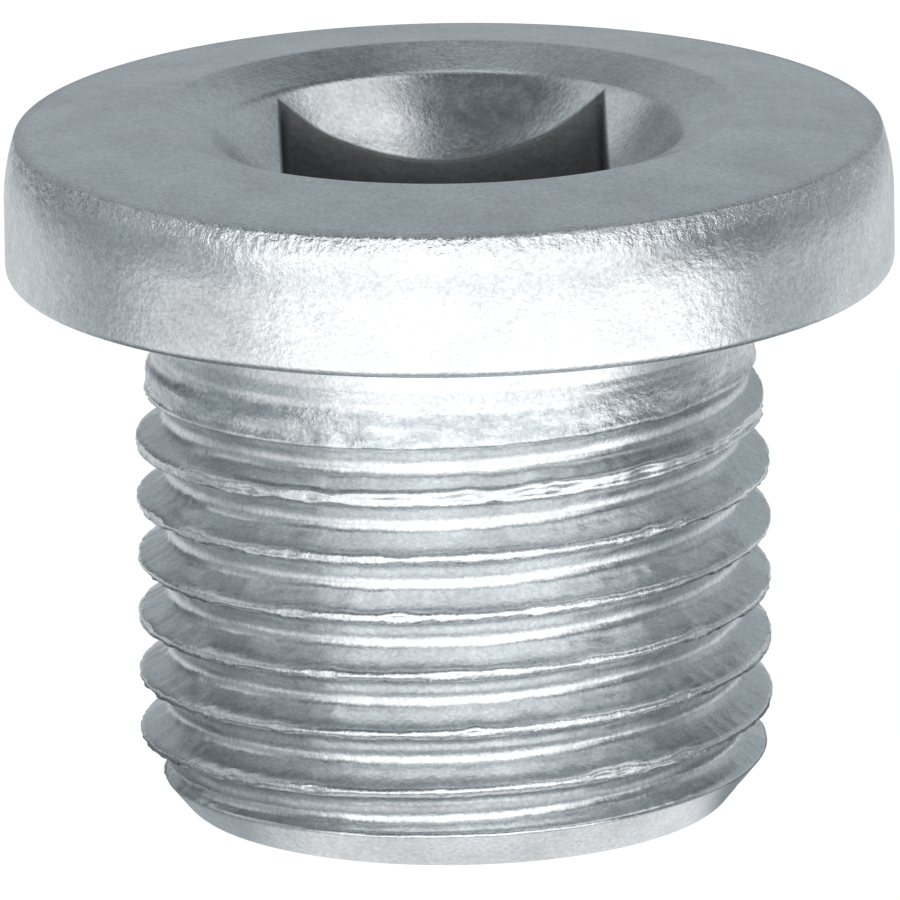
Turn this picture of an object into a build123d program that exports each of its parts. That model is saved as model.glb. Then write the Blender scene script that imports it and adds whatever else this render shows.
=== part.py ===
"""Flanged screw plug with a square key socket, as used to drain or fill an oil sump.

The plug is one piece of steel: a cold-forged head with a dished, square-punched socket, a plain neck
and a rolled M16 x 1.5 right-hand thread that fades out into the neck.
Lengths are millimetres.  The plug stands on its threaded end, with the origin at the centre of that
end face, +Z up through the head, and the socket's flats square to X and Y.
"""

import os
from math import atan2, ceil, degrees, radians, tan

from build123d import *

# Thread, metric fine
thread_diameter = 15.9  # over the crests
thread_root_diameter = 14.2
thread_pitch = 1.5
thread_angle = 60  # between the two flanks
thread_crest_flat = 0.19
runout_turns = 2  # last turns, in which the groove fades into the neck
runout_exit = 0.05  # how far above the neck the groove's floor ends

# Shank
shank_length = 13.65  # from the end face to the sealing face under the head
neck_diameter = 15.0  # the blank, left unrolled under the head
neck_length = 1.32
neck_corner = 0.25  # sloped corner where the neck meets the head
end_diameter = 13.6  # flat end face inside the lead-in chamfer
lead_in_height = 1.4

# Head
head_diameter = 22.25
head_thickness = 4.0
seal_edge_width = 0.13  # small break of the edge round the sealing face
seal_edge_height = 0.25
crown_height = 1.72  # upper part of the side, which curves in towards the top
crown_inset = 0.29
top_fall = 0.44  # from the rim of the dish out to the edge of the head
edge_radius = 0.65  # between the side and the top

# Dish round the socket
rim_diameter = 14.55  # the highest line of the head
wall_diameter = 11.8  # top of the dish's steep wall
wall_depth = 0.5
bowl_diameter = 11.45  # foot of that wall, where the bowl begins
bowl_edge_depth = 1.12
bowl_depth = 2.35  # where the bowl meets the middle of a flat

# Square socket
socket_width = 8.1  # across flats, for an 8 mm square key
socket_depth = 9.5
socket_corner_radius = 0.3
socket_point_angle = 140  # left in the floor by the punch's blunt point

# Places that follow from the sizes above
thread_radius = thread_diameter / 2
root_radius = thread_root_diameter / 2
neck_radius = neck_diameter / 2
head_radius = head_diameter / 2
flat_radius = socket_width / 2
total_height = shank_length + head_thickness
runout_height = runout_turns * thread_pitch
runout_end = shank_length - neck_length
runout_start = runout_end - runout_height
socket_floor = total_height - socket_depth

with BuildPart() as plug:
    # Head, neck and shank as one turned section
    with BuildSketch(Plane.XZ) as section:
        with BuildLine():
            end_face = Line((0, 0), (end_diameter / 2, 0))
            lead_in = Line(end_face @ 1, (thread_radius, lead_in_height))
            crests = Line(lead_in @ 1, (thread_radius, runout_start))
            fade = Line(crests @ 1, (neck_radius, runout_end))
            neck = Line(fade @ 1, (neck_radius, shank_length))
            sealing_face = Line(neck @ 1, (head_radius - seal_edge_width, shank_length))
            seal_edge = Line(sealing_face @ 1, (head_radius, shank_length + seal_edge_height))
            head_edge = (head_radius - crown_inset, total_height - top_fall)
            side = Line(seal_edge @ 1, (head_radius, head_edge[1] - crown_height))
            crown = TangentArc(side @ 1, head_edge, tangent=side % 1)
            top = Line(crown @ 1, (rim_diameter / 2, total_height))
            rim_slope = Line(top @ 1, (wall_diameter / 2, total_height - wall_depth))
            wall = Line(rim_slope @ 1, (bowl_diameter / 2, total_height - bowl_edge_depth))
            bowl = Line(wall @ 1, (flat_radius, total_height - bowl_depth))
            bowl_floor = Line(bowl @ 1, (0, total_height - bowl_depth))
            Line(bowl_floor @ 1, end_face @ 0)
        make_face()
        chamfer(section.vertices().sort_by_distance(neck @ 1)[0], neck_corner)
        fillet(section.vertices().sort_by_distance(head_edge)[0], edge_radius)
    revolve(axis=Axis.Z)

    # Square socket, then the blunt point of its punch
    with BuildSketch(Plane.XY.offset(socket_floor)) as square:
        RectangleRounded(socket_width, socket_width, socket_corner_radius)
    extrude(amount=socket_depth, mode=Mode.SUBTRACT)
    point_depth = flat_radius / tan(radians(socket_point_angle / 2))
    with BuildSketch(Plane.XZ) as point:
        with BuildLine():
            point_rim = Line((0, socket_floor), (flat_radius, socket_floor))
            point_side = Line(point_rim @ 1, (0, socket_floor - point_depth))
            Line(point_side @ 1, point_rim @ 0)
        make_face()
    revolve(axis=Axis.Z, mode=Mode.SUBTRACT)

    # Section of the thread groove, seen along the helix: x leads outwards from the floor of the groove
    half_angle = radians(thread_angle / 2)
    mouth_half_width = (thread_pitch - thread_crest_flat) / 2
    root_half_width = mouth_half_width - (thread_radius - root_radius) * tan(half_angle)
    cutter_half_width = mouth_half_width + thread_crest_flat / 8  # past the crests, short of the next turn
    cutter_reach = (cutter_half_width - root_half_width) / tan(half_angle)

    # The groove runs at full depth from below the end face, then climbs out of the blank
    groove_height = ceil(runout_start / thread_pitch + 1) * thread_pitch
    climb = neck_radius + runout_exit - root_radius
    with BuildLine() as groove_path:
        rolled = Helix(
            thread_pitch,
            groove_height,
            root_radius,
            center=(0, 0, runout_start - groove_height),
        )
        Helix(
            thread_pitch,
            runout_height,
            root_radius,
            center=(0, 0, runout_start),
            cone_angle=degrees(atan2(climb, runout_height)),
        )
    with BuildSketch(Plane(rolled @ 0, x_dir=(1, 0, 0), z_dir=rolled % 0)) as groove:
        with BuildLine():
            root = Line((0, -root_half_width), (0, root_half_width))
            first_flank = Line(root @ 1, (cutter_reach, cutter_half_width))
            mouth = Line(first_flank @ 1, (cutter_reach, -cutter_half_width))
            Line(mouth @ 1, root @ 0)
        make_face()
    sweep(path=groove_path.line, is_frenet=True, mode=Mode.SUBTRACT)

plug.part.label = "plug"
os.makedirs("parts", exist_ok=True)
export_step(plug.part, "parts/plug.step")
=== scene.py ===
"""Looks of the flanged screw plug: zinc-plated steel on a plain white floor.

The plug is drawn as one closed mesh in the frame's own coordinates.  Its thread is a grid whose rows
climb with the helix, and the head is turned from a half section with small rounded edges.
Lengths are millimetres until the mesh is made, and heights are measured from the end face.
"""

from math import acos, atan2, ceil, cos, hypot, pi, radians, sin, tan

import bpy
import numpy as np
from mathutils import Matrix, Vector

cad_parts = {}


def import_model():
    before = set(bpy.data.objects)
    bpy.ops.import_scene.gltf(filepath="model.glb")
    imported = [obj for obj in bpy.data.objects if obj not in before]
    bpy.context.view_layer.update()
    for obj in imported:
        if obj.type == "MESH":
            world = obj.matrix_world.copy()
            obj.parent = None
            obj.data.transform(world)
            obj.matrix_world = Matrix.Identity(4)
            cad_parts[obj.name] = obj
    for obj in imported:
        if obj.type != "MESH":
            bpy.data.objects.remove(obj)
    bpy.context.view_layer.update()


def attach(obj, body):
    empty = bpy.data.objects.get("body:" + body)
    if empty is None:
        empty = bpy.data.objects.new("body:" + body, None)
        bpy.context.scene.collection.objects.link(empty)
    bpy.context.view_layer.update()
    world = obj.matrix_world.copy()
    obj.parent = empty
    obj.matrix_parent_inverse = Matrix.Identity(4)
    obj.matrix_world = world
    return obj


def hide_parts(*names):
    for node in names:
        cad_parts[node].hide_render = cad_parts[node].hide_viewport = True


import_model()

MM = 0.001
FRONT = -92.3  # angle of the photograph's side, degrees round Z from +X

# Thread
PITCH = 1.5
CREST_R = 7.95
ROOT_R = 7.15
NECK_R = 7.5
FLANK = radians(28)  # from the plane square to the axis to the top side of a crest
FLANK_UNDER = radians(17)  # the same for a crest's underside, which runs into a rounder root
CREST_FLAT = 0.19
GROOVE_BLEND = 0.04  # rounding between the groove and the crests
FADE_START = 9.33  # where the run-out begins, at angle 0
FADE_END = FADE_START + 2 * PITCH  # where the blank has thinned down to the neck
FADE_EXIT = 0.05  # how far above the neck the groove's floor ends
GROOVE_END = 11.65  # where the groove has gone, on the still thinning blank
GROOVE_FADE = 1.3  # above 1 the groove stays deep for longer
END_R = 6.8
LEAD_IN = 1.4  # height of the chamfer at the end
LEAD_IN_BLEND = 0.08

# Wear of the rolled thread: a seam along the middle of each crest, nicks, and uneven edges
RAGGED = 0.018
UNEVEN_CELLS = ((11, 190, 0.3), (12, 60, 0.5))  # random seed, cells round the thread, height of a cell
SEAM_DEPTH = 0.03
SEAM_WIDTH = 0.8  # share of the crest's width
SEAM_SPREAD = 0.45  # how much wider half a crest is at the end of the run-out
FADE_SEAM_DEPTH = 0.1
FADE_SEAM_ONSET = 0.25  # share of the run-out over which its deeper seam comes in
FADE_SEAM_UNEVEN = 0.2
NICK_DEPTH = 0.05
NICK_ONSET = 0.6  # unevenness at which a nick begins

# Head: points of its half section are a radius and a height
SEAL_Z = 13.65
HEAD_R = 11.125
TOP_Z = 17.65
CROWN_Z = 15.49  # where the side begins to curve in
CROWN_STEPS = 8
HEAD_EDGE = (10.835, 17.21)
RIM = (7.275, TOP_Z)
DISH_SHOULDER = (5.9, 17.15)
DISH_WAIST = (5.05, 16.1)
DISH_FOOT_Z = 15.3
NECK_ROUND = 0.25
SEAL_ROUND = 0.27
EDGE_ROUND = 0.65
RIM_ROUND = 0.3
SHOULDER_ROUND = 0.5
WAIST_ROUND = 2.5
ROUND_STEPS = 6
ROUND_SHARE = 0.45  # the most that a round takes of the lines beside it
SECTION_STEP = 0.35  # longest step along the section

# Socket
FLAT_R = 4.05
CORNER_R = 0.3
FLOOR_Z = 8.15
POINT_Z = 6.676
ROUND_RING_R = DISH_SHOULDER[0] - 0.1  # the dish's rings stay round as far in as this
SQUARE_SHARES = (0.1, 0.2, 0.32, 0.5, 0.7, 0.86, 0.95)  # of the way from the last round ring to the square
SQUARE_MARGIN = 0.06  # where that way ends, outside the square
SOCKET_LIP = ((0.05, 0.037), (0.015, -0.005), (0.0, -0.05), (0.0, -0.8))  # outwards and up from the edge
FLOOR_EDGE = 0.1  # small slope between the socket's walls and its floor
POINT_ROWS = ((4.0, 0.0), (2.7, 0.33), (1.35, 0.66))  # radius, and share of the way down the blunt point
FLOOR_MARGIN = 0.12  # least distance from the point's rows to the walls

# End face
END_LIP = ((0.03, 0.05), (-0.02, 0.012), (-0.1, 0.0))  # outwards and up from the end face's edge
END_RINGS = (5.0, 2.5)

# Mesh
COLUMNS = 368
ROWS_PER_PITCH = 18
GRID_LOW = 0.1  # height of the thread grid's lowest ring
GRID_PITCHES = 25 / 3  # the grid's height, which takes in the start of the plain neck
SEAM_ANGLE = pi / 2  # the grid's seam is at the back
ANGLES = np.arange(COLUMNS) * 2 * pi / COLUMNS + SEAM_ANGLE

# Steel.  Noise: cells per metre, detail, roughness.  Stops: noise value, and a colour or a grey
BLOTCHES = (450, 5, 0.65)
PITS = (2600, 4, 0.65)
GRAIN = (9000, 2, 0.6)
STREAKS = (1100, 4, 0.7)
STREAK_SQUEEZE = (1, 1, 3)
TONE = [(0.35, (0.68, 0.705, 0.72)), (0.65, (0.82, 0.85, 0.87))]
SPECK = [(0.3, 0.76), (0.7, 1.0)]
SMEARED = [(0.35, 1.0), (0.6, (0.64, 0.67, 0.69))]
# painted shade: the base colour darkens deep in the socket, where shade falls
SOCKET_PAINTED_SHADE = [(0.0, 1.0), (1.0, 0.24)]
ROUGHNESS = [(0.35, 0.31), (0.65, 0.2)]
SOCKET_ROUGHNESS = 0.6
PIT_DEPTH = 0.08
GRAIN_DEPTH = 0.03
GRAIN_STRENGTH = 0.25
# where the steel is worked, or darkened with painted shade: each starts at the first length and is full at
# the second
SIDE_R = (HEAD_R - 0.6, HEAD_R - 0.2)
EDGE_R = (HEAD_R - 0.7, HEAD_R - 0.4)
EDGE_Z = (TOP_Z - 1.1, TOP_Z - 0.7)
SHANK_Z = (SEAL_Z - 1.0, SEAL_Z - 1.3)
CRESTS_R = (CREST_R - 0.1, CREST_R - 0.04)
RUN_OUT_LOW_Z = (GROOVE_END - 0.9, GROOVE_END - 0.7)
RUN_OUT_HIGH_Z = (GROOVE_END + 0.4, GROOVE_END + 0.1)
SQUARE_ACROSS = (FLAT_R + 0.12, FLAT_R + 0.02)
SOCKET_Z = (FLOOR_Z - 2, FLOOR_Z - 1)
PITTED = 0.06  # strength of the pits everywhere
PITTED_SIDE = 0.26  # and what is added to it on each worked surface
PITTED_EDGE = 1.0
PITTED_RUN_OUT = 0.45
PITTED_CREST = 0.5

# Light.  A soft patch is its azimuth and elevation, its inner and outer spread in degrees, how many times
# flatter than round it is, and its strength
COOL = (0.86, 0.95, 1.0)
WHITE = (1.0, 1.0, 1.0)
SKY_GREY = 0.14
SKY_PATCHES = [
    (0, 6, 40, 62, 3.0, 1.6),  # long and low in front
    (0, 34, 12, 30, 1.0, 0.12),  # front
    (158, 10, 30, 68, 2.0, 0.34),  # behind
    (-176, 71, 5, 17, 1.0, 0.7),  # high behind
    (143, 55, 12, 26, 1.0, -0.22),  # dark flag behind on the right
    (78, 59, 15, 26, 1.0, 0.95),  # high on the right
    (-112, 42, 14, 28, 1.0, 0.5),  # left, behind
    (-85, 10, 15, 45, 2.0, 0.36),  # left
    (95, 10, 15, 45, 2.0, 0.15),  # right
]
FLOOR_SIZE = 6  # metres
FLOOR_PAINT = (0.9, 0.9, 0.9, 1)
FLOOR_ROUGHNESS = 0.9
FLOOR_GREY = 0.5
# painted shadow in the floor's glow that reflections see: share of its light that the floor keeps, by
# distance from the axis, most shaded below the head's edge
PAINTED_FLOOR_SHADES = [(8.6, 0.52), (10.5, 0.25), (14, 0.3), (26, 1), (70, 1), (200, 0.5)]
# painted pool of light in the floor's glow, seen only in reflections: strongest in front
PAINTED_FLOOR_PATCHES = [
    (12, 0, 42, 65, 1.0, 1.4),  # in front
    (180, 0, 50, 90, 1.0, 0.33),  # behind
    (-62, 0, 10, 27, 1.0, 0.5),  # left
    (95, 0, 10, 45, 1.0, 0.15),  # right
]
BACKDROP_GLOW = 1.18
BACKDROP_SHARE = 0.8  # the rest is the lit floor, with the plug's shadow
MIRRORED_SHARE = 0.95

# Camera
CAMERA_ELEVATION = 15.099
CAMERA_ROLL = radians(-0.859)
CAMERA_DISTANCE = 584.985
TARGET_Z = 8.88
TARGET_RIGHT = -0.069  # how far right of the axis the camera points
FOCAL_PIXELS = 23342.257  # focal length, in pixels of the photograph
PICTURE_PIXELS = 900  # width of the photograph
SENSOR_WIDTH = 36
CLIP = (0.01, 20)  # metres


def patchy(seed, theta, z, around, high):
    """Soft random value between -1 and 1 over angle and height, from a grid of cells."""
    rng = np.random.default_rng(seed)
    cells_up = int(TOP_Z / high) + 3
    grid = rng.uniform(-1, 1, (around, cells_up))
    u = (theta / (2 * pi) * around) % around
    v = np.clip(z / high, 0, cells_up - 2)
    i = np.floor(u).astype(int) % around
    j = np.floor(v).astype(int)
    k = (i + 1) % around
    a = u - np.floor(u)
    b = v - np.floor(v)
    a = a * a * (3 - 2 * a)
    b = b * b * (3 - 2 * b)
    low = grid[i, j] * (1 - a) + grid[k, j] * a
    up = grid[i, j + 1] * (1 - a) + grid[k, j + 1] * a
    return low * (1 - b) + up * b


def smooth_min(a, b, width):
    """The lower of a and b, with the crossing rounded over width."""
    h = np.clip(0.5 + 0.5 * (b - a) / width, 0, 1)
    return b * (1 - h) + a * h - width * h * (1 - h)


def groove_radius(off, side, centre):
    """Radius of the groove, which has a round root and straight flanks, and fades out in the run-out.

    off is the height above the groove's middle, side the same without its sign and made uneven, and
    centre the height of that middle.
    """
    fade = np.clip((centre - FADE_START) / (GROOVE_END - FADE_START), 0, 1) ** GROOVE_FADE
    floor_r = ROOT_R + (NECK_R + FADE_EXIT - ROOT_R) * fade
    mouth = (PITCH - CREST_FLAT) / 2
    flank = np.where(off > 0, FLANK_UNDER, FLANK)
    root_round = (mouth / np.tan(flank) - (CREST_R - ROOT_R)) / (1 / np.sin(flank) - 1)
    foot = root_round * np.cos(flank)
    arc = root_round - np.sqrt(np.maximum(root_round ** 2 - np.clip(side, 0, foot) ** 2, 0))
    return floor_r + arc + np.maximum(side - foot, 0) / np.tan(flank)


def blank_radius(z, off_crest, uneven):
    """Radius of the blank: lead-in, crests with their seam and nicks, and the fade into the neck."""
    above = np.clip((z - FADE_START) / (FADE_END - FADE_START), 0, 1)
    crest = CREST_R + (NECK_R - CREST_R) * above
    half = CREST_FLAT / 2 + SEAM_SPREAD * above
    seam = SEAM_DEPTH * np.clip(1 + uneven, 0, 2) * (1 - above)
    onset = np.clip(above / FADE_SEAM_ONSET, 0, 1)
    seam = seam + FADE_SEAM_DEPTH * (1 + FADE_SEAM_UNEVEN * uneven) * onset * (1 - above)
    seam = seam * np.clip(1 - (off_crest / (SEAM_WIDTH * half)) ** 2, 0, 1)
    nicks = NICK_DEPTH * np.clip(uneven - NICK_ONSET, 0, 1) * (1 - above)
    lead_in = END_R + (CREST_R - END_R) * z / LEAD_IN
    return smooth_min(crest - seam - nicks, lead_in, LEAD_IN_BLEND)


def thread_radius(theta, z):
    """Radius of the threaded shank at an angle and height."""
    uneven = sum(patchy(seed, theta, z, around, high) for seed, around, high in UNEVEN_CELLS)
    turn = (z - FADE_START) / PITCH - theta / (2 * pi)
    off = (turn - np.round(turn)) * PITCH
    side = np.abs(off) + RAGGED * uneven
    groove = groove_radius(off, side, z - off)
    blank = blank_radius(z, PITCH / 2 - side, uneven)
    return np.minimum(smooth_min(blank, groove, GROOVE_BLEND), CREST_R)


def round_corner(before, corner, after, radius):
    """Points of the arc that replaces a corner, or the corner itself where it has no radius."""
    if not radius:
        return [corner]
    at = Vector(corner)
    a = Vector(before) - at
    b = Vector(after) - at
    half = a.angle(b) / 2
    reach = min(radius / tan(half), ROUND_SHARE * a.length, ROUND_SHARE * b.length)
    r = reach * tan(half)
    centre = at + (a.normalized() + b.normalized()).normalized() * (r / sin(half))
    start = at + a.normalized() * reach - centre
    end = at + b.normalized() * reach - centre
    first = atan2(start.y, start.x)
    sweep = (atan2(end.y, end.x) - first + pi) % (2 * pi) - pi
    angles = [first + sweep * i / ROUND_STEPS for i in range(ROUND_STEPS + 1)]
    return [(centre.x + r * cos(angle), centre.y + r * sin(angle)) for angle in angles]


def subdivide(points, longest):
    """The same line with extra points, so that no step is longer than given."""
    out = [points[0]]
    for a, b in zip(points, points[1:]):
        n = max(1, ceil(hypot(b[0] - a[0], b[1] - a[1]) / longest))
        out += [(a[0] + (b[0] - a[0]) * i / n, a[1] + (b[1] - a[1]) * i / n) for i in range(1, n + 1)]
    return out


def crown_line():
    """The side's upper part: an arc that starts upright and ends at the head's edge."""
    dx = HEAD_R - HEAD_EDGE[0]
    dz = HEAD_EDGE[1] - CROWN_Z
    radius = (dx ** 2 + dz ** 2) / (2 * dx)
    span = acos(1 - dx / radius)
    angles = [span * i / CROWN_STEPS for i in range(CROWN_STEPS + 1)]
    return [(HEAD_R - radius * (1 - cos(angle)), CROWN_Z + radius * sin(angle)) for angle in angles]


def head_section(start_z):
    """Half section from the neck round the head and down into the dish, with rounded corners."""
    crown = crown_line()
    points = [(NECK_R, start_z), (NECK_R, SEAL_Z), (HEAD_R, SEAL_Z)] + crown
    points += [RIM, DISH_SHOULDER, DISH_WAIST, (FLAT_R, DISH_FOOT_Z)]
    rounds = [NECK_ROUND, SEAL_ROUND] + [0] * CROWN_STEPS
    rounds += [EDGE_ROUND, RIM_ROUND, SHOULDER_ROUND, WAIST_ROUND]
    line = [points[0]]
    for before, corner, after, radius in zip(points, points[1:], points[2:], rounds):
        line += round_corner(before, corner, after, radius)
    return subdivide(line + [points[-1]], SECTION_STEP)


def square_reach(theta):
    """Distance from the axis to the rounded square at an angle."""
    a = np.abs((theta + pi / 4) % (pi / 2) - pi / 4)
    flat = FLAT_R / np.cos(a)
    c = FLAT_R - CORNER_R
    mid = c * (np.cos(a) + np.sin(a))
    round_part = mid + np.sqrt(np.maximum(mid ** 2 - (2 * c ** 2 - CORNER_R ** 2), 0))
    return np.where(FLAT_R * np.tan(a) > c, round_part, flat)


class Skin:
    """Points and faces of one closed mesh, which is put together ring by ring."""

    def __init__(self):
        self.points = []
        self.faces = []

    def add_points(self, r, angles, z):
        """Points at radii, angles and heights; returns their numbers."""
        first = len(self.points)
        self.points.extend(zip(r * np.cos(angles), r * np.sin(angles), z))
        return list(range(first, len(self.points)))

    def add_face(self, corners):
        """A face, without corners that fall together."""
        corners = [v for i, v in enumerate(corners) if v != corners[i - 1]]
        if len(corners) > 2:
            self.faces.append(corners)

    def ring(self, r, z):
        """A ring whose radius and height are one number or one for each column."""
        return self.add_points(np.broadcast_to(r, ANGLES.shape), ANGLES, np.broadcast_to(z, ANGLES.shape))

    def join(self, low, high):
        """Faces between two rings."""
        for j in range(COLUMNS):
            k = (j + 1) % COLUMNS
            self.add_face([low[j], low[k], high[k], high[j]])

    def climb(self, start, rings):
        """Joins each ring, a radius and a height, to the one before, and returns the last."""
        for r, z in rings:
            following = self.ring(r, z)
            self.join(start, following)
            start = following
        return start

    def close(self, ring, z):
        """Faces from a ring to a point on the axis."""
        tip = self.add_points(0, np.zeros(1), np.array([z]))[0]
        for j in range(COLUMNS):
            self.add_face([ring[j], ring[(j + 1) % COLUMNS], tip])

    def mesh(self, name):
        """The Blender mesh, in metres and smooth."""
        mesh = bpy.data.meshes.new(name)
        mesh.from_pydata([(x * MM, y * MM, z * MM) for x, y, z in self.points], [], self.faces)
        mesh.polygons.foreach_set("use_smooth", np.ones(len(mesh.polygons), bool))
        mesh.update()
        return mesh


def add_thread(skin):
    """Rows that climb with the helix, filled up to a level ring at each end.

    The grid's seam is divided into steps.  A row starts at one step of it and, a turn later, ends a pitch
    higher.  Rows near an end start or end at the seam's own end instead.
    Returns the two level rings and the upper one's height.
    """
    steps = round(GRID_PITCHES * ROWS_PER_PITCH)
    seam_z = GRID_LOW + np.arange(steps + 1) * PITCH / ROWS_PER_PITCH
    seam_angle = np.full(steps + 1, SEAM_ANGLE)
    seam = skin.add_points(thread_radius(seam_angle, seam_z), seam_angle, seam_z)
    along = np.arange(1, COLUMNS) / COLUMNS
    rows = []
    for i in range(steps + ROWS_PER_PITCH + 1):
        start = max(0, i - ROWS_PER_PITCH)
        end = min(i, steps)
        z = seam_z[start] + (seam_z[end] - seam_z[start]) * along
        inner = skin.add_points(thread_radius(ANGLES[1:], z), ANGLES[1:], z)
        rows.append([seam[start]] + inner + [seam[end]])
    for low, high in zip(rows, rows[1:]):
        for j in range(COLUMNS):
            skin.add_face([low[j], low[j + 1], high[j + 1], high[j]])
    return rows[0][:-1], rows[-1][:-1], seam_z[-1]


def add_end_face(skin, edge):
    """The flat end with its small rounded edge, built inwards, so its rings run the other way."""
    rings = [(END_R + out, up) for out, up in END_LIP] + [(r, 0.0) for r in END_RINGS]
    for r, z in rings:
        inner = skin.ring(r, z)
        skin.join(inner, edge)
        edge = inner
    skin.close(edge[::-1], 0.0)


def add_head(skin, start, start_z):
    """Neck, head and dish down to the square, the socket's walls, and its blunt point."""
    section = head_section(start_z)
    turned = [point for point in section[1:] if point[0] > ROUND_RING_R]
    ring = skin.climb(start, turned)

    # from the last round ring, rows that turn into the square
    dish = section[section.index(turned[-1]):][::-1]
    dish_r, dish_z = zip(*dish)
    round_r = turned[-1][0]
    reach = square_reach(ANGLES)
    rows = []
    for share in SQUARE_SHARES:
        r = round_r + (reach + SQUARE_MARGIN - round_r) * share
        rows.append((r, np.interp(r, dish_r, dish_z)))

    # walls
    edge_z = np.interp(reach, dish_r, dish_z)
    rows += [(reach + out, edge_z + up) for out, up in SOCKET_LIP]
    rows.append((reach, (edge_z + FLOOR_Z) / 2))
    rows.append((reach, FLOOR_Z + FLOOR_EDGE))
    rows.append((reach - FLOOR_EDGE, FLOOR_Z))

    # floor
    rows += [
        (np.minimum(r, reach - FLOOR_MARGIN), FLOOR_Z + (POINT_Z - FLOOR_Z) * share)
        for r, share in POINT_ROWS
    ]
    skin.close(skin.climb(ring, rows), POINT_Z)


def build_plug():
    """The whole plug as one mesh."""
    skin = Skin()
    bottom, top, top_z = add_thread(skin)
    add_end_face(skin, bottom)
    add_head(skin, top, top_z)
    return skin.mesh("plug_skin")


def wire(tree, value, socket):
    """Links an output to a socket, or sets a plain value on it."""
    if isinstance(value, bpy.types.NodeSocket):
        tree.links.new(value, socket)
    else:
        socket.default_value = value


def maths(tree, operation, a, b=None):
    """Sum, product or other operation on numbers."""
    node = tree.nodes.new("ShaderNodeMath")
    node.operation = operation
    wire(tree, a, node.inputs[0])
    if b is not None:
        wire(tree, b, node.inputs[1])
    return node.outputs[0]


def vector_maths(tree, operation, a, b=None):
    """The same on vectors or colours."""
    node = tree.nodes.new("ShaderNodeVectorMath")
    node.operation = operation
    wire(tree, a, node.inputs[0])
    if b is not None:
        wire(tree, b, node.inputs[1])
    return node.outputs["Value" if operation in ("DOT_PRODUCT", "LENGTH") else "Vector"]


def add_up(tree, values, base):
    """Sum of the values and a plain number."""
    total = base
    for value in values:
        total = maths(tree, "ADD", value, total)
    return total


def smooth_step(tree, value, start, end, top=1.0):
    """0 at start and top at end, with a soft passage."""
    node = tree.nodes.new("ShaderNodeMapRange")
    node.interpolation_type = "SMOOTHSTEP"
    wire(tree, value, node.inputs["Value"])
    node.inputs["From Min"].default_value = start
    node.inputs["From Max"].default_value = end
    node.inputs["To Max"].default_value = top
    return node.outputs["Result"]


def ramp(tree, value, stops):
    """Colour ramp whose stops are a value, and a colour or a grey."""
    node = tree.nodes.new("ShaderNodeValToRGB")
    wire(tree, value, node.inputs["Fac"])
    elements = node.color_ramp.elements
    elements[0].position = stops[0][0]
    elements[1].position = stops[-1][0]
    for position, _ in stops[1:-1]:
        elements.new(position)
    for element, (_, colour) in zip(elements, stops):
        element.color = (*colour, 1) if isinstance(colour, tuple) else (colour, colour, colour, 1)
    return node.outputs["Color"]


def noise(tree, place, scale, detail, roughness):
    """Cloudy value round 0.5."""
    node = tree.nodes.new("ShaderNodeTexNoise")
    wire(tree, place, node.inputs["Vector"])
    node.inputs["Scale"].default_value = scale
    node.inputs["Detail"].default_value = detail
    node.inputs["Roughness"].default_value = roughness
    return node.outputs["Fac"]


def bump(tree, height, distance, strength, below=None):
    """Normal of a relief that lies over another one, if that is given."""
    node = tree.nodes.new("ShaderNodeBump")
    wire(tree, height, node.inputs["Height"])
    wire(tree, strength, node.inputs["Strength"])
    node.inputs["Distance"].default_value = distance * MM
    if below:
        wire(tree, below, node.inputs["Normal"])
    return node.outputs["Normal"]


def steel_places(tree, place):
    """Values that are 1 in the socket, in the run-out, and on the head's side, its edge and the crests."""
    split = tree.nodes.new("ShaderNodeSeparateXYZ")
    wire(tree, place, split.inputs[0])
    x, y, z = split.outputs
    squares = maths(tree, "ADD", maths(tree, "MULTIPLY", x, x), maths(tree, "MULTIPLY", y, y))
    radius = maths(tree, "SQRT", squares)
    across = maths(tree, "MAXIMUM", maths(tree, "ABSOLUTE", x), maths(tree, "ABSOLUTE", y))

    def within(value, span):
        return smooth_step(tree, value, span[0] * MM, span[1] * MM)

    def both(a, b):
        return maths(tree, "MULTIPLY", a, b)

    in_socket = both(within(across, SQUARE_ACROSS), within(z, SOCKET_Z))
    in_run_out = both(within(z, RUN_OUT_LOW_Z), within(z, RUN_OUT_HIGH_Z))
    on_side = within(radius, SIDE_R)
    on_edge = both(within(radius, EDGE_R), within(z, EDGE_Z))
    on_crest = both(within(z, SHANK_Z), within(radius, CRESTS_R))
    return in_socket, in_run_out, on_side, on_edge, on_crest


def steel_colour(tree, place, grain, in_socket, in_run_out):
    """Blotchy grey with fine specks, smeared in the run-out and darkened with painted shade in the socket.
    """
    streaks = noise(tree, vector_maths(tree, "MULTIPLY", place, STREAK_SQUEEZE), *STREAKS)
    colour = ramp(tree, noise(tree, place, *BLOTCHES), TONE)
    for value, stops in (
        (grain, SPECK),
        (maths(tree, "MULTIPLY", in_run_out, streaks), SMEARED),
        (in_socket, SOCKET_PAINTED_SHADE),
    ):
        colour = vector_maths(tree, "MULTIPLY", colour, ramp(tree, value, stops))
    return colour


def steel_roughness(tree, pits, in_socket):
    """Uneven like the pits, and dull in the socket."""
    mix = tree.nodes.new("ShaderNodeMix")
    wire(tree, in_socket, mix.inputs["Factor"])
    wire(tree, ramp(tree, pits, ROUGHNESS), mix.inputs["A"])
    wire(tree, SOCKET_ROUGHNESS, mix.inputs["B"])
    return mix.outputs["Result"]


def steel_relief(tree, pits, grain, worked):
    """Normal of the pits, which are deeper on worked surfaces, with the grain over them."""
    strength = add_up(tree, [maths(tree, "MULTIPLY", place, extra) for place, extra in worked], PITTED)
    coarse = bump(tree, pits, PIT_DEPTH, strength)
    return bump(tree, grain, GRAIN_DEPTH, GRAIN_STRENGTH, coarse)


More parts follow.
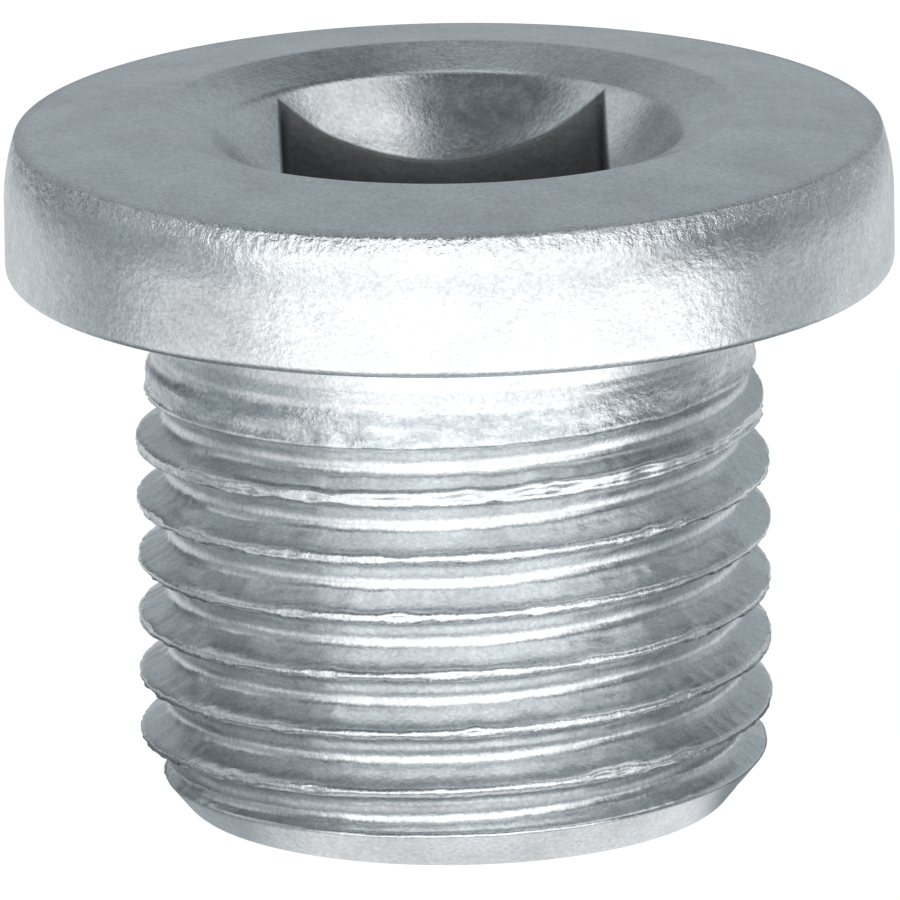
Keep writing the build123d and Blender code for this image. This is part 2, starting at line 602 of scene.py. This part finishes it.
def steel():
    """Zinc plate over cold-forged steel: fine grain, shallow pits and duller patches."""
    mat = bpy.data.materials.new("zinc_plated_steel")
    mat.use_nodes = True
    tree = mat.node_tree
    shader = tree.nodes["Principled BSDF"]
    shader.inputs["Metallic"].default_value = 1.0
    place = tree.nodes.new("ShaderNodeTexCoord").outputs["Object"]
    pits = noise(tree, place, *PITS)
    grain = noise(tree, place, *GRAIN)
    in_socket, in_run_out, on_side, on_edge, on_crest = steel_places(tree, place)
    worked = (
        (on_side, PITTED_SIDE),
        (on_edge, PITTED_EDGE),
        (in_run_out, PITTED_RUN_OUT),
        (on_crest, PITTED_CREST),
    )
    wire(tree, steel_colour(tree, place, grain, in_socket, in_run_out), shader.inputs["Base Color"])
    wire(tree, steel_roughness(tree, pits, in_socket), shader.inputs["Roughness"])
    wire(tree, steel_relief(tree, pits, grain, worked), shader.inputs["Normal"])
    return mat


def aim(azimuth, elevation):
    """Unit vector; azimuth 0 is the photograph's side of the plug and 90 is to its right."""
    a = radians(FRONT + azimuth)
    e = radians(elevation)
    return Vector((cos(a) * cos(e), sin(a) * cos(e), sin(e)))


def soft_patch(tree, direction, azimuth, elevation, inner, outer, flatness, strength):
    """Value that is strength within inner degrees of a direction and falls to 0 at outer degrees."""
    squash = Vector((1, 1, flatness))
    toward = (aim(azimuth, elevation) * squash).normalized()
    flat = vector_maths(tree, "MULTIPLY", direction, squash)
    nearness = vector_maths(tree, "DOT_PRODUCT", vector_maths(tree, "NORMALIZE", flat), toward)
    return smooth_step(tree, nearness, cos(radians(outer)), cos(radians(inner)), strength)


def tint(tree, strength):
    """Cool where the light is weak and white where it is strong."""
    return ramp(tree, strength, [(0.5, COOL), (1.0, WHITE)])


def glow(tree, strength, colour):
    """Plain emission."""
    node = tree.nodes.new("ShaderNodeEmission")
    wire(tree, strength, node.inputs["Strength"])
    wire(tree, colour, node.inputs["Color"])
    return node.outputs[0]


def painted_floor_pool(tree):
    """Painted light that the steel sees in the floor's glow: patches round the plug, with painted shade
    close to it.
    """
    place = tree.nodes.new("ShaderNodeTexCoord").outputs["Object"]
    painted_pool = add_up(tree, [soft_patch(tree, place, *patch) for patch in PAINTED_FLOOR_PATCHES], FLOOR_GREY)
    farthest = PAINTED_FLOOR_SHADES[-1][0]
    distance = maths(tree, "DIVIDE", vector_maths(tree, "LENGTH", place), farthest * MM)
    shade = ramp(tree, distance, [(from_axis / farthest, light) for from_axis, light in PAINTED_FLOOR_SHADES])
    return maths(tree, "MULTIPLY", painted_pool, shade)


def floor():
    """White floor that keeps the soft shadow under the plug; in reflections it glows with a painted pool
    of light, strongest in front of it, and painted shade close to the plug.
    """
    bpy.ops.mesh.primitive_plane_add(size=FLOOR_SIZE, location=(0, 0, 0))
    plane = bpy.context.object
    plane.name = "floor"
    mat = bpy.data.materials.new("white_floor")
    mat.use_nodes = True
    tree = mat.node_tree
    shader = tree.nodes["Principled BSDF"]
    shader.inputs["Base Color"].default_value = FLOOR_PAINT
    shader.inputs["Roughness"].default_value = FLOOR_ROUGHNESS

    path = tree.nodes.new("ShaderNodeLightPath").outputs
    seen = maths(tree, "MAXIMUM", path["Is Camera Ray"], path["Is Transmission Ray"])
    backdrop = glow(tree, BACKDROP_GLOW, (*WHITE, 1))
    painted_pool = painted_floor_pool(tree)
    mirrored = glow(tree, painted_pool, tint(tree, painted_pool))
    surface = shader.outputs[0]
    for ray, share, light in (
        (seen, BACKDROP_SHARE, backdrop),
        (path["Is Glossy Ray"], MIRRORED_SHARE, mirrored),
    ):
        mix = tree.nodes.new("ShaderNodeMixShader")
        wire(tree, maths(tree, "MULTIPLY", ray, share), mix.inputs["Fac"])
        tree.links.new(surface, mix.inputs[1])
        tree.links.new(light, mix.inputs[2])
        surface = mix.outputs[0]
    tree.links.new(surface, tree.nodes["Material Output"].inputs["Surface"])
    plane.data.materials.append(mat)


def world():
    """Grey studio with soft panels round the plug."""
    studio = bpy.data.worlds.new("studio")
    bpy.context.scene.world = studio
    studio.use_nodes = True
    tree = studio.node_tree
    direction = tree.nodes.new("ShaderNodeTexCoord").outputs["Generated"]
    light = add_up(tree, [soft_patch(tree, direction, *patch) for patch in SKY_PATCHES], SKY_GREY)
    background = tree.nodes["Background"]
    wire(tree, light, background.inputs["Strength"])
    wire(tree, tint(tree, light), background.inputs["Color"])


def camera():
    """Long lens, 15 degrees above the plug, on the photograph's side."""
    back = aim(0, CAMERA_ELEVATION)
    right = aim(90, 0)
    up = back.cross(right)
    place = Vector((0, 0, TARGET_Z)) + right * TARGET_RIGHT + back * CAMERA_DISTANCE
    rolled_right = right * cos(CAMERA_ROLL) + up * sin(CAMERA_ROLL)
    rolled_up = up * cos(CAMERA_ROLL) - right * sin(CAMERA_ROLL)
    turn = Matrix((rolled_right, rolled_up, back)).transposed().to_4x4()
    data = bpy.data.cameras.new("camera")
    data.sensor_width = SENSOR_WIDTH
    data.lens = FOCAL_PIXELS / PICTURE_PIXELS * SENSOR_WIDTH
    data.clip_start, data.clip_end = CLIP
    cam = bpy.data.objects.new("camera", data)
    cam.matrix_world = Matrix.Translation(place * MM) @ turn
    bpy.context.scene.collection.objects.link(cam)
    bpy.context.scene.camera = cam


def corners(box):
    """The box's two corners as plain lists of numbers."""
    return [[float(v) for v in corner] for corner in box]


plug = bpy.data.objects.new("plug_skin", build_plug())
bpy.context.scene.collection.objects.link(plug)
plug.data.materials.append(steel())
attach(plug, "root")
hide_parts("plug")
floor()
world()
camera()
bpy.context.scene.view_settings.view_transform = "Standard"
